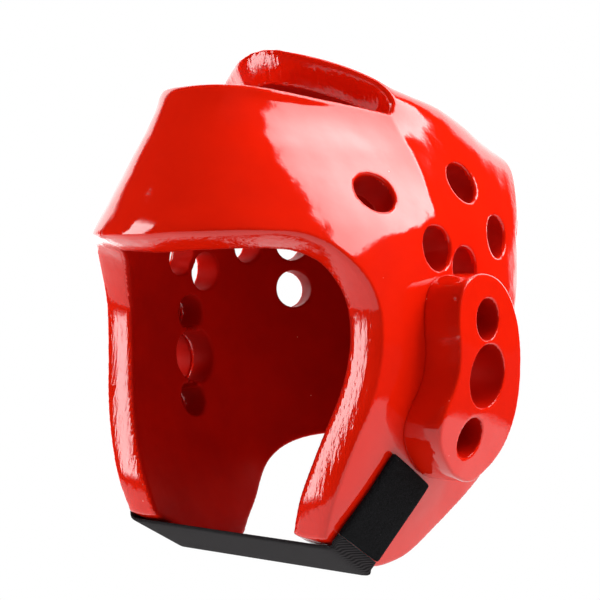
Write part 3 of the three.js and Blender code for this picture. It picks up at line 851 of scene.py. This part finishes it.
@dataclass
class Strap:
    """The pile tabs on the jaw and the elastic webbing that runs from one to the other."""

    wall: Wall
    width: float = 40 * MM
    thickness: float = 2 * MM
    fold: float = 4.5 * MM
    drop: float = 2 * MM
    lift: float = 0.9 * MM
    gap: float = 0.3 * MM
    tab_length: float = 46 * MM
    tab_thickness: float = 3 * MM
    middle: tuple[float, float] = (-0.24, 0.873)
    slant: float = 29.0
    rib: float = 1.3 * MM
    scallop: float = 0.28 * MM

    def spots(self, down: np.ndarray, across: np.ndarray, lift: float) -> tuple[np.ndarray, np.ndarray]:
        """Places on the jaw, by their distances along the wall from the tab's middle.

        Args:
            down: Distances down the strap.
            across: Distances across it, to the rear, in the same shape.
            lift: Height above the wall.

        Returns:
            The points and the ways that the wall faces there.
        """
        slant = math.radians(self.slant)
        ways = (
            (np.array([-math.sin(slant), -math.cos(slant)]), down),
            (np.array([math.cos(slant), -math.sin(slant)]), across),
        )
        at = np.empty((*down.shape, 2))
        at[..., 0] = self.wall.y(self.middle[0])
        at[..., 1] = self.wall.z(self.middle[1])
        steps = 8
        for way, length in ways:
            for _ in range(steps):
                here = self.wall.foot(at[..., 0], at[..., 1])
                beside = at + way * MM
                near = self.wall.foot(beside[..., 0], beside[..., 1])
                pace = length / steps / np.linalg.norm(near - here, axis=-1)
                at = at + way * MM * pace[..., None]
        points, normals = self.wall.spot(at[..., 0], at[..., 1])
        return points + normals * lift, normals

    def tab(self) -> bpy.types.Object:
        """The left pile tab, with its map in metres."""
        corner = 2.0 * MM
        half = np.array([self.tab_length, self.width]) / 2
        down, across = np.meshgrid(np.linspace(-1, 1, 37), np.linspace(-1, 1, 33), indexing="ij")
        place = np.stack([down, across], -1) * half
        over = np.maximum(np.abs(place) - (half - corner), 0)
        far = np.linalg.norm(over, axis=-1, keepdims=True)
        rounded = np.sign(place) * (half - corner + over * corner / np.maximum(far, corner))
        place = np.where(far > corner, rounded, place)
        edge = np.min(half - np.abs(place), axis=-1)
        sink = 0.9 * MM * np.exp(-edge / (1.1 * MM))
        points, normals = self.spots(place[..., 0], place[..., 1], self.lift)
        top = points + normals * (self.tab_thickness - sink)[..., None]
        grid = np.stack([points, top], axis=2)
        return self.slab("pile_tab_left", grid, self.tab_length, self.width)

    def slab(self, name: str, grid: np.ndarray, length: float, width: float) -> bpy.types.Object:
        """A closed strip from a grid of inner and outer points, mapped in metres.

        Args:
            name: The object's name.
            grid: Points by row, column and inner or outer side.
            length: Length that the rows cover.
            width: Width that the columns cover.

        Returns:
            The strip.
        """
        rows, columns = grid.shape[:2]
        bm = bmesh.new()
        uv = bm.loops.layers.uv.new("strip")
        verts = [
            [[bm.verts.new(grid[i, j, k]) for k in range(2)] for j in range(columns)]
            for i in range(rows)
        ]

        def place(i: int, j: int) -> tuple[float, float]:
            """The map's place of a grid point."""
            return (j / (columns - 1) * width, i / (rows - 1) * length)

        def face(corners: list[tuple[int, int, int]]) -> None:
            """One face, with its map."""
            made = bm.faces.new([verts[i][j][k] for i, j, k in corners])
            for loop, (i, j, _) in zip(made.loops, corners):
                loop[uv].uv = place(i, j)

        for i in range(rows - 1):
            for j in range(columns - 1):
                face([(i, j, 1), (i + 1, j, 1), (i + 1, j + 1, 1), (i, j + 1, 1)])
                face([(i, j, 0), (i, j + 1, 0), (i + 1, j + 1, 0), (i + 1, j, 0)])
        edge = columns - 1
        for i in range(rows - 1):
            face([(i, 0, 0), (i + 1, 0, 0), (i + 1, 0, 1), (i, 0, 1)])
            face([(i, edge, 1), (i + 1, edge, 1), (i + 1, edge, 0), (i, edge, 0)])
        for j in range(columns - 1):
            face([(0, j, 1), (0, j + 1, 1), (0, j + 1, 0), (0, j, 0)])
            face([(rows - 1, j, 0), (rows - 1, j + 1, 0), (rows - 1, j + 1, 1), (rows - 1, j, 1)])
        bmesh.ops.recalc_face_normals(bm, faces=bm.faces)
        return finished(name, bm)

    def course(self) -> tuple[np.ndarray, np.ndarray]:
        """The way of the webbing from tab to tab.

        Returns:
            Distances along it at even steps, and there its two edges' points and facings.
        """
        rows: list[list[tuple[np.ndarray, np.ndarray | None]]] = []
        edges = (-0.5, 0.5)
        beyond = np.array([0.05 * MM, self.fold / 2, self.fold])
        down_places, across_places = np.meshgrid(
            self.tab_length / 2 + beyond, np.array(edges) * self.width, indexing="ij"
        )
        points, normals = self.spots(down_places, across_places, self.lift)
        for row_points, row_normals in zip(points, normals):
            rows.append(list(zip(row_points, row_normals)))
        lows = []
        for point, normal in rows[-1]:
            low = point + np.array([-self.thickness / 2, 0, -self.drop])
            turned = normal - np.array([0, 0, 1])
            lows.append((low, turned / np.linalg.norm(turned)))
        rows.append(lows)
        for share in (0.88, 0.6, 0.3, 0.0):
            rows.append([
                (low * np.array([share, 1, 1]) - np.array([0, 0, self.gap]), None) for low, _ in lows
            ])
        across = rows[-1][1][0] - rows[-1][0][0]
        down = np.cross(across, [1.0, 0, 0])
        down *= -np.sign(down[2]) / np.linalg.norm(down)
        half = np.array([
            [np.concatenate([point, down if normal is None else normal]) for point, normal in row]
            for row in rows
        ])
        flip = np.array([-1, 1, 1, -1, 1, 1])
        whole = np.concatenate([half, half[:-1][::-1] * flip])
        smooth = np.stack([spline(whole[:, k], 25 * len(whole)) for k in range(2)], axis=1)
        middle = smooth.mean(1)[:, :3]
        run = np.concatenate([[0], np.cumsum(np.linalg.norm(np.diff(middle, axis=0), axis=1))])
        length = run[-1]
        count = int(length / (0.4 * MM))
        even = np.linspace(0, length, count)
        lines = np.stack([
            np.column_stack([np.interp(even, run, smooth[:, k, c]) for c in range(6)]) for k in range(2)
        ], axis=1)
        return even, lines

    def webbing(self) -> bpy.types.Object:
        """The elastic webbing from tab to tab, with ribbed edges."""
        even, lines = self.course()
        scallop = self.scallop * np.abs(np.sin(np.pi * even / (2 * self.rib)))
        shares = np.concatenate([[0.0, 0.015, 0.04], np.linspace(0.08, 0.92, 12), [0.96, 0.985, 1.0]])
        grid = np.empty((len(even), len(shares), 2, 3))
        for j, share in enumerate(shares):
            line = lines[:, 0] * (1 - share) + lines[:, 1] * share
            facing = line[:, 3:] / np.linalg.norm(line[:, 3:], axis=1, keepdims=True)
            inward = lines[:, 1, :3] - lines[:, 0, :3]
            inward /= np.linalg.norm(inward, axis=1, keepdims=True)
            edge = min(share, 1 - share) * self.width
            fade = math.exp(-edge / (1.2 * MM)) * (1 if share < 0.5 else -1)
            point = line[:, :3] + inward * (scallop * fade)[:, None]
            round_off = 0.42 * self.thickness * math.exp(-edge / (0.5 * MM))
            grid[:, j, 0] = point + facing * round_off
            grid[:, j, 1] = point + facing * (self.thickness - round_off)
        return self.slab("elastic_webbing", grid, float(even[-1]), self.width)

    def build(self) -> list[bpy.types.Object]:
        """Makes both tabs and the webbing."""
        left = self.tab()
        apply_modifier(left, "SUBSURF", levels=1, render_levels=1)
        left.data.shade_smooth()
        right = mirrored_copy(left, "pile_tab_right")
        webbing = self.webbing()
        webbing.data.shade_smooth()
        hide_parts("strap_tab_left")
        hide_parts("strap_tab_right")
        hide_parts("chin_strap")
        return [left, right, webbing]


class Nodes:
    """A short hand for building a node tree."""

    def __init__(self, tree: bpy.types.NodeTree) -> None:
        """Keeps the tree that the nodes go into."""
        self.tree = tree

    def add(self, kind: str, **values: object) -> bpy.types.Node:
        """Adds a node.

        Args:
            kind: The node's type without its prefix.
            values: Its settings.

        Returns:
            The node.
        """
        node = self.tree.nodes.new("ShaderNode" + kind)
        for key, value in values.items():
            setattr(node, key, value)
        return node

    def feed(self, socket: bpy.types.NodeSocket, value: object) -> None:
        """Sets a socket, or links it where the value is a socket itself."""
        if isinstance(value, bpy.types.NodeSocket):
            self.tree.links.new(value, socket)
        else:
            socket.default_value = value

    def math(self, operation: str, a: object, b: object = 0.0) -> bpy.types.NodeSocket:
        """The result of a sum on two values."""
        node = self.add("Math", operation=operation)
        self.feed(node.inputs[0], a)
        self.feed(node.inputs[1], b)
        return node.outputs[0]

    def noise(self, vector: object, scale: float, detail: float = 2.0,
              rough: float = 0.5) -> bpy.types.NodeSocket:
        """A soft noise from 0 to 1."""
        node = self.add("TexNoise")
        self.feed(node.inputs["Vector"], vector)
        self.feed(node.inputs["Scale"], scale)
        self.feed(node.inputs["Detail"], detail)
        self.feed(node.inputs["Roughness"], rough)
        return node.outputs[0]

    def stretched(self, vector: object, scale: tuple[float, float, float]) -> bpy.types.NodeSocket:
        """The coordinates times a scale on each axis."""
        node = self.add("Mapping")
        self.feed(node.inputs["Vector"], vector)
        node.inputs["Scale"].default_value = scale
        return node.outputs[0]

    def between(self, value: object, low: float, high: float, a: float = 0.0,
                b: float = 1.0) -> bpy.types.NodeSocket:
        """A value moved from one range to another and held in it."""
        node = self.add("MapRange")
        self.feed(node.inputs["Value"], value)
        node.inputs["From Min"].default_value = low
        node.inputs["From Max"].default_value = high
        node.inputs["To Min"].default_value = a
        node.inputs["To Max"].default_value = b
        return node.outputs[0]

    def mixed(self, share: object, a: object, b: object) -> bpy.types.NodeSocket:
        """A colour between two, by a share."""
        node = self.add("Mix", data_type="RGBA")
        self.feed(node.inputs[0], share)
        self.feed(node.inputs[6], a)
        self.feed(node.inputs[7], b)
        return node.outputs[2]

    def relief(self, shader: bpy.types.Node, height: object, distance: float) -> None:
        """Gives a shader a relief, with the height in units of the distance."""
        bump = self.add("Bump")
        bump.inputs["Strength"].default_value = 1.0
        bump.inputs["Distance"].default_value = distance
        self.feed(bump.inputs["Height"], height)
        self.feed(shader.inputs["Normal"], bump.outputs[0])


def new_material(name: str) -> tuple[bpy.types.Material, Nodes, bpy.types.Node]:
    """A new material, the short hand for its tree and its shader."""
    material = bpy.data.materials.new(name)
    material.use_nodes = True
    tree = material.node_tree
    return material, Nodes(tree), tree.nodes["Principled BSDF"]


def bare_material(name: str) -> tuple[bpy.types.Material, Nodes, bpy.types.NodeSocket]:
    """A new material without a shader, its short hand and the socket that one goes into."""
    material, n, shader = new_material(name)
    surface = material.node_tree.nodes["Material Output"].inputs["Surface"]
    material.node_tree.nodes.remove(shader)
    return material, n, surface


def new_group(name: str, ins: dict[str, float], outs: tuple[str, ...]) -> tuple[bpy.types.NodeTree, Nodes]:
    """An empty node group.

    Args:
        name: The group's name.
        ins: Its inputs and their usual values.
        outs: Its outputs, all of them values.

    Returns:
        The group and the short hand for it.
    """
    tree = bpy.data.node_groups.new(name, "ShaderNodeTree")
    for key, value in ins.items():
        socket = tree.interface.new_socket(name=key, in_out="INPUT", socket_type="NodeSocketFloat")
        socket.default_value = value
    for key in outs:
        tree.interface.new_socket(name=key, in_out="OUTPUT", socket_type="NodeSocketFloat")
    return tree, Nodes(tree)


def dust_group() -> bpy.types.NodeTree:
    """Fine specks of dust and lint, as a mask."""
    tree, n = new_group("fine_dust", {"Scale": 160.0, "Share": 0.1}, ("Mask",))
    ins = tree.nodes.new("NodeGroupInput")
    outs = tree.nodes.new("NodeGroupOutput")
    place = n.add("TexCoord").outputs["Object"]
    cells = n.add("TexVoronoi")
    n.feed(cells.inputs["Vector"], place)
    n.feed(cells.inputs["Scale"], ins.outputs["Scale"])
    near = n.between(cells.outputs["Distance"], 0.05, 0.09, 1.0, 0.0)
    split = n.add("SeparateColor")
    n.feed(split.inputs[0], cells.outputs["Color"])
    chosen = n.math("LESS_THAN", split.outputs[0], ins.outputs["Share"])
    n.feed(outs.inputs["Mask"], n.math("MULTIPLY", near, chosen))
    return tree


@dataclass(frozen=True)
class DippedVinyl:
    """Glossy vinyl skin on foam: the red of the whole head guard."""

    colour: tuple[float, float, float, float] = (0.80, 0.012, 0.0016, 1.0)
    deep: tuple[float, float, float, float] = (0.76, 0.0105, 0.0013, 1.0)
    roughness: float = 0.05
    name: str = "dipped_vinyl"
    specular: float = 0.5
    speck: tuple[float, float, float, float] = (0.9, 0.45, 0.4, 1.0)
    relief: float = 1.0 * MM

    def make(self, dust: bpy.types.NodeTree) -> bpy.types.Material:
        """Builds the material."""
        material, n, shader = new_material(self.name)
        place = n.add("TexCoord").outputs["Object"]
        mottle = n.noise(place, 45.0, 3.0, 0.6)
        specks = n.add("Group", node_tree=dust)
        specks.inputs["Scale"].default_value = 190.0
        specks.inputs["Share"].default_value = 0.045
        base = n.mixed(n.between(mottle, 0.35, 0.7), self.colour, self.deep)
        base = n.mixed(n.math("MULTIPLY", specks.outputs["Mask"], 0.5), base, self.speck)
        n.feed(shader.inputs["Base Color"], base)
        rough = n.between(mottle, 0.3, 0.8, self.roughness * 0.8, self.roughness * 1.6)
        rough = n.math("ADD", rough, n.math("MULTIPLY", specks.outputs["Mask"], 0.3))
        n.feed(shader.inputs["Roughness"], rough)
        shader.inputs["IOR"].default_value = 1.52
        shader.inputs["Specular IOR Level"].default_value = self.specular
        wave = n.noise(place, 26.0, 2.0, 0.5)
        orange = n.noise(place, 330.0, 2.0, 0.5)
        cut = n.add("Attribute", attribute_name="cut_face").outputs["Fac"]
        streaks = n.noise(n.stretched(place, (260.0, 260.0, 60.0)), 1.0, 3.0, 0.6)
        height = n.math("ADD", n.math("MULTIPLY", wave, 1.3), n.math("MULTIPLY", orange, 0.045))
        height = n.math("ADD", height, n.math("MULTIPLY", n.math("MULTIPLY", streaks, cut), 0.35))
        n.relief(shader, height, self.relief)
        return material


@dataclass(frozen=True)
class PileFabric:
    """Black looped pile with lint in it."""

    colour: tuple[float, float, float, float] = (0.0022, 0.0022, 0.0026, 1.0)
    loop: tuple[float, float, float, float] = (0.016, 0.016, 0.018, 1.0)
    lint: tuple[float, float, float, float] = (0.32, 0.30, 0.31, 1.0)
    relief: float = 0.9 * MM

    def make(self, dust: bpy.types.NodeTree) -> bpy.types.Material:
        """Builds the material."""
        material, n, shader = new_material("black_pile")
        place = n.add("TexCoord").outputs["Object"]
        loops = n.noise(place, 1500.0, 3.0, 0.7)
        clumps = n.noise(place, 260.0, 3.0, 0.6)
        specks = n.add("Group", node_tree=dust)
        specks.inputs["Scale"].default_value = 520.0
        specks.inputs["Share"].default_value = 0.14
        base = n.mixed(n.between(loops, 0.42, 0.72), self.colour, self.loop)
        caught = n.math("MULTIPLY", specks.outputs["Mask"], n.between(clumps, 0.4, 0.7))
        n.feed(shader.inputs["Base Color"], n.mixed(caught, base, self.lint))
        shader.inputs["Roughness"].default_value = 0.95
        shader.inputs["Specular IOR Level"].default_value = 0.12
        height = n.math("ADD", n.math("MULTIPLY", loops, 0.7), n.math("MULTIPLY", clumps, 1.0))
        n.relief(shader, height, self.relief)
        return material


@dataclass(frozen=True)
class ElasticWeave:
    """Grey-black elastic webbing with fine slanting ribs."""

    colour: tuple[float, float, float, float] = (0.040, 0.034, 0.037, 1.0)
    groove: tuple[float, float, float, float] = (0.002, 0.0018, 0.002, 1.0)
    rib: float = 1.3 * MM
    slant: float = 32.0
    relief: float = 0.5 * MM

    def make(self) -> bpy.types.Material:
        """Builds the material."""
        material, n, shader = new_material("ribbed_elastic")
        turned = n.add("Mapping")
        n.feed(turned.inputs["Vector"], n.add("TexCoord").outputs["UV"])
        turned.inputs["Rotation"].default_value = (0, 0, math.radians(self.slant))
        split = n.add("SeparateXYZ")
        n.feed(split.inputs[0], turned.outputs[0])
        along = n.math("MULTIPLY", split.outputs[1], math.tau / self.rib)
        across = n.math("MULTIPLY", split.outputs[0], math.tau / (0.55 * self.rib))
        ribs = n.between(n.math("SINE", along), -1.0, 1.0)
        yarns = n.between(n.math("SINE", across), -1.0, 1.0)
        weave = n.math("ADD", n.math("MULTIPLY", ribs, 0.75), n.math("MULTIPLY", yarns, 0.25))
        fuzz = n.noise(n.add("TexCoord").outputs["Object"], 1800.0, 2.0, 0.6)
        shade = n.math("MULTIPLY", weave, n.between(fuzz, 0.3, 0.7, 0.7, 1.1))
        n.feed(shader.inputs["Base Color"], n.mixed(n.between(shade, 0.1, 0.8), self.groove, self.colour))
        shader.inputs["Roughness"].default_value = 0.8
        shader.inputs["Specular IOR Level"].default_value = 0.15
        n.relief(shader, n.math("ADD", weave, n.math("MULTIPLY", fuzz, 0.2)), self.relief)
        return material


def dress(piece: bpy.types.Object, material: bpy.types.Material) -> None:
    """Gives a piece its main material and its slot, and lets it ride on the body."""
    piece.data.materials.clear()
    piece.data.materials.append(material)
    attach(piece, "root")


def vertex_places(piece: bpy.types.Object) -> np.ndarray:
    """Place of every vertex of a piece, one row each."""
    flat = np.empty(len(piece.data.vertices) * 3)
    piece.data.vertices.foreach_get("co", flat)
    return flat.reshape(-1, 3)


def write_mask(piece: bpy.types.Object, name: str, values: np.ndarray) -> None:
    """Stores one value for every vertex of a piece under a name."""
    mask = piece.data.attributes.new(name, "FLOAT", "POINT")
    mask.data.foreach_set("value", values.astype(float))


def near_holes(points: np.ndarray, wall: Wall, holes: list[tuple[float, float, float]],
               length: float) -> np.ndarray:
    """Tells which points lie in a hole or on its wall.

    Args:
        points: The points.
        wall: The wall the holes go through.
        holes: Side-view place and diameter of each hole.
        length: How far a hole reaches to either side of the wall's outer face.

    Returns:
        True for each point that does.
    """
    found = np.zeros(len(points), bool)
    for y, z, diameter in holes:
        middle, way = wall.spot(np.array(y), np.array(z))
        for side in Side:
            flip = np.array([side.value, 1, 1])
            reach = points - middle * flip
            along = reach @ (way * flip)
            off = np.linalg.norm(reach - along[:, None] * (way * flip), axis=1)
            found |= (off < diameter / 2 + HOLE_MARGIN) & (np.abs(along) < length)
    return found


def finish_faces(shell: bpy.types.Object, foam: DippedFoam,
                 holes: list[tuple[float, float, float]]) -> None:
    """Marks the cut and the inner faces of the shell, and crowns the cut ones a little.

    Args:
        shell: The finished shell.
        foam: What it was made from.
        holes: Side-view place and diameter of each hole.
    """
    wall = foam.wall
    grid_t, grid_z = np.meshgrid(np.linspace(0, 3, 61), wall.rows(90))
    rings = np.array([whole_ring(row) for row in wall.point(grid_t, grid_z)])
    rows, count = rings.shape[:2]
    faces = []
    for r in range(rows - 1):
        for i in range(count):
            a, b = r * count + i, r * count + (i + 1) % count
            faces.append((a, a + count, b + count, b))
    outside = BVHTree.FromPolygons(rings.reshape(-1, 3).tolist(), faces)
    mesh = shell.data
    points = vertex_places(shell)
    far = np.array([outside.find_nearest(Vector(p))[3] for p in points])
    in_hole = near_holes(points, wall, holes, 1.5 * wall.foam)
    depth = far / wall.foam
    past_skin = np.clip((far - foam.skin_reach) / foam.skin_reach, 0, 1)
    write_mask(shell, "cut_face", past_skin * (depth < foam.inner_depth) * ~in_hole)
    inside = np.clip((depth - foam.inner_depth) / foam.inner_fade, 0, 1)
    write_mask(shell, "inner_face", np.where(in_hole & (far > foam.skin_reach), 1.0, inside))
    normals = np.empty(len(mesh.vertices) * 3)
    mesh.vertices.foreach_get("normal", normals)
    lift = foam.rim_crown * 4 * depth * (1 - depth) * (depth < 1) * ~in_hole
    moved = points + normals.reshape(-1, 3) * lift[:, None]
    mesh.vertices.foreach_set("co", moved.ravel())
    mesh.update()


def line_inside(piece: bpy.types.Object, material: bpy.types.Material) -> None:
    """Gives the faces that inner_face marks their own matte material, whose darker red is painted shade.

    Args:
        piece: The shell or an ear pad, already dressed.
        material: The material of the inside and of the walls of the holes, darker red as painted shade.
    """
    mesh = piece.data
    mesh.materials.append(material)
    share = np.empty(len(mesh.vertices))
    mesh.attributes["inner_face"].data.foreach_get("value", share)
    starts = np.empty(len(mesh.polygons), np.int32)
    mesh.polygons.foreach_get("loop_start", starts)
    corners = np.empty(len(mesh.loops), np.int32)
    mesh.loops.foreach_get("vertex_index", corners)
    lined = np.minimum.reduceat(share[corners], starts) > 0.5
    mesh.polygons.foreach_set("material_index", lined.astype(np.int32))
    mesh.update()


@dataclass
class Studio:
    """A white set: the camera, a floor, soft boxes that are mirrored and lamps that aren't."""

    azimuth: float = 38.0
    elevation: float = 1.0
    distance: float = 0.75
    aim: tuple[float, float, float] = (0.0, 0.0, -0.1055)
    lens: float = 84.9
    sensor: float = 36.0
    floor: float = -0.75
    lamp_size: float = 1.0
    lamp_distance: float = 1.5

    def way(self, azimuth: float, elevation: float) -> Vector:
        """The way from the object to an azimuth from the camera's and an elevation."""
        a = math.radians(self.azimuth + azimuth)
        e = math.radians(elevation)
        return Vector((math.sin(a) * math.cos(e), -math.cos(a) * math.cos(e), math.sin(e)))

    def camera(self) -> None:
        """Sets the camera at the photograph's viewing angle."""
        data = bpy.data.cameras.new("camera")
        data.lens = self.lens
        data.sensor_width = self.sensor
        data.clip_start = 0.01
        camera = new_object("camera", data)
        aim = Vector(self.aim)
        camera.location = aim + self.way(0, self.elevation) * self.distance
        camera.rotation_euler = (aim - camera.location).to_track_quat("-Z", "Y").to_euler()
        bpy.context.scene.camera = camera

    def panel(self, name: str, corners: tuple[tuple[float, float], ...], radius: float,
              strength: float, feather: tuple[float, float], slope: float = 0.0) -> None:
        """A glowing panel that is seen only in reflections and as light.

        Args:
            name: Its name.
            corners: Azimuth from the camera's and elevation of its corners: lower left, lower
                right, upper right and upper left.
            radius: Distance from the object.
            strength: How bright it is.
            feather: Share of its width and of its height over which its edges fade.
            slope: How much brighter its right edge is than its middle, as a share.
        """
        rows, columns = 16, 24
        bm = bmesh.new()
        uv = bm.loops.layers.uv.new("panel")
        verts = []
        for i in range(rows + 1):
            line = []
            for j in range(columns + 1):
                u, v = j / columns, i / rows
                shares = ((1 - u) * (1 - v), u * (1 - v), u * v, (1 - u) * v)
                a = sum(k * corner[0] for k, corner in zip(shares, corners))
                e = sum(k * corner[1] for k, corner in zip(shares, corners))
                line.append(bm.verts.new(Vector(self.aim) + self.way(a, e) * radius))
            verts.append(line)
        for i in range(rows):
            for j in range(columns):
                around = ((i, j), (i, j + 1), (i + 1, j + 1), (i + 1, j))
                made = bm.faces.new([verts[r][c] for r, c in around])
                for loop, (r, c) in zip(made.loops, around):
                    loop[uv].uv = (c / columns, r / rows)
        panel = finished(name, bm)
        material, n, surface = bare_material(name)
        split = n.add("SeparateXYZ")
        n.feed(split.inputs[0], n.add("TexCoord").outputs["UV"])
        shares = []
        for axis, fade in enumerate(feather):
            value = split.outputs[axis]
            rising, falling = n.between(value, 0.0, fade), n.between(value, 1.0, 1.0 - fade)
            shares.append(n.math("MULTIPLY", rising, falling))
        share = n.math("MULTIPLY", *shares)
        tilt = n.between(split.outputs[0], 0.0, 1.0, 1.0 - slope, 1.0 + slope)
        glow = n.add("Emission")
        n.feed(glow.inputs["Strength"], n.math("MULTIPLY", n.math("MULTIPLY", share, tilt), strength))
        clear = n.add("BsdfTransparent")
        mix = n.add("MixShader")
        n.feed(mix.inputs[0], share)
        n.feed(mix.inputs[1], clear.outputs[0])
        n.feed(mix.inputs[2], glow.outputs[0])
        n.feed(surface, mix.outputs[0])
        panel.data.materials.append(material)
        panel.visible_camera = False
        panel.visible_shadow = False

    def fill(self, name: str, azimuth: float, elevation: float, power: float) -> None:
        """A soft lamp that lights the foam and isn't mirrored in it.

        Args:
            name: Its name.
            azimuth: Its azimuth from the camera's.
            elevation: Its elevation.
            power: Its power in watts.
        """
        data = bpy.data.lights.new(name, "AREA")
        data.size = self.lamp_size
        data.energy = power
        lamp = new_object(name, data)
        way = self.way(azimuth, elevation)
        lamp.location = Vector(self.aim) + way * self.lamp_distance
        lamp.rotation_euler = way.to_track_quat("Z", "Y").to_euler()
        lamp.visible_glossy = False
        lamp.visible_camera = False

    def world(self) -> None:
        """White to the camera and dim to everything else."""
        world = bpy.data.worlds.new("studio")
        bpy.context.scene.world = world
        world.use_nodes = True
        tree = world.node_tree
        n = Nodes(tree)
        seen = n.add("LightPath").outputs["Is Camera Ray"]
        background = tree.nodes["Background"]
        n.feed(background.inputs["Color"], (1, 1, 1, 1))
        n.feed(background.inputs["Strength"], n.between(seen, 0.0, 1.0, 0.015, 1.0))

    def ground(self) -> None:
        """A white floor well below the object. Only the camera sees it white further off."""
        bpy.ops.object.select_all(action="DESELECT")
        bpy.ops.mesh.primitive_plane_add(size=12, location=(0, 0, self.floor))
        floor = bpy.context.object
        floor.name = "studio_floor"
        material, n, surface = bare_material("studio_floor")
        seen = n.add("LightPath").outputs["Is Camera Ray"]
        glow = n.add("Emission")
        spread = n.add("VectorMath", operation="LENGTH")
        n.feed(spread.inputs[0], n.add("TexCoord").outputs["Object"])
        near = n.between(spread.outputs["Value"], 1.7, 1.95, 1.05, 0.05)
        n.feed(glow.inputs["Strength"], n.math("MAXIMUM", seen, near))
        n.feed(surface, glow.outputs[0])
        floor.data.materials.append(material)

    def build(self) -> None:
        """Sets up the whole studio."""
        self.camera()
        self.world()
        self.ground()
        key = ((46, 22), (103, 29), (120, 98), (76, 98))
        left = ((-91, -15), (-71, -15), (-71, 37), (-91, 37))
        behind = ((140, -22), (230, -22), (238, 62), (108, 62))
        self.panel("key_box", key, 1.6, 8.0, (0.10, 0.04), 0.30)
        self.panel("left_box", left, 1.6, 9.0, (0.06, 0.12))
        self.panel("backdrop", behind, 2.2, 2.5, (0.05, 0.05))
        self.fill("right_fill", 80, 18, 9.0)
        self.fill("front_fill", 24, 42, 5.5)
        scene = bpy.context.scene
        scene.view_settings.view_transform = "Standard"
        scene.view_settings.look = "None"
        scene.view_settings.exposure = 0.0
        scene.view_settings.gamma = 1.0


def main() -> None:
    """Builds the headgear and its studio."""
    logging.basicConfig(level=logging.INFO, format="%(name)s: %(message)s")
    Studio().build()
    wall = Wall()
    foam = DippedFoam(wall)
    pads = EarPads(wall)
    shell = foam.build(pads)
    cushions = pads.build(foam)
    strap = Strap(wall).build()
    dust = dust_group()
    vinyl = DippedVinyl().make(dust)
    # Darker red inside and on the walls of the holes is painted shade: the colour stands in for the shade
    # that the wearer's head casts there, not for a darker vinyl.
    inside = DippedVinyl(
        colour=(0.50, 0.005, 0.001, 1.0), deep=(0.44, 0.004, 0.001, 1.0), roughness=0.45,
        name="vinyl_inside_painted_shade", specular=0.03,
    ).make(dust)
    pile = PileFabric().make(dust)
    elastic = ElasticWeave().make()
    for piece in (shell, *cushions):
        dress(piece, vinyl)
    for cushion in cushions:
        walls = near_holes(vertex_places(cushion), wall, pads.holes(), CUSHION_HOLE_REACH)
        write_mask(cushion, "inner_face", walls)
    for piece in (shell, *cushions):
        line_inside(piece, inside)
    for piece in strap[:2]:
        dress(piece, pile)
    dress(strap[2], elastic)
    for piece in (shell, *cushions, *strap):
        log.info("%s: %d faces", piece.name, len(piece.data.polygons))


if __name__ == "__main__":
    main()
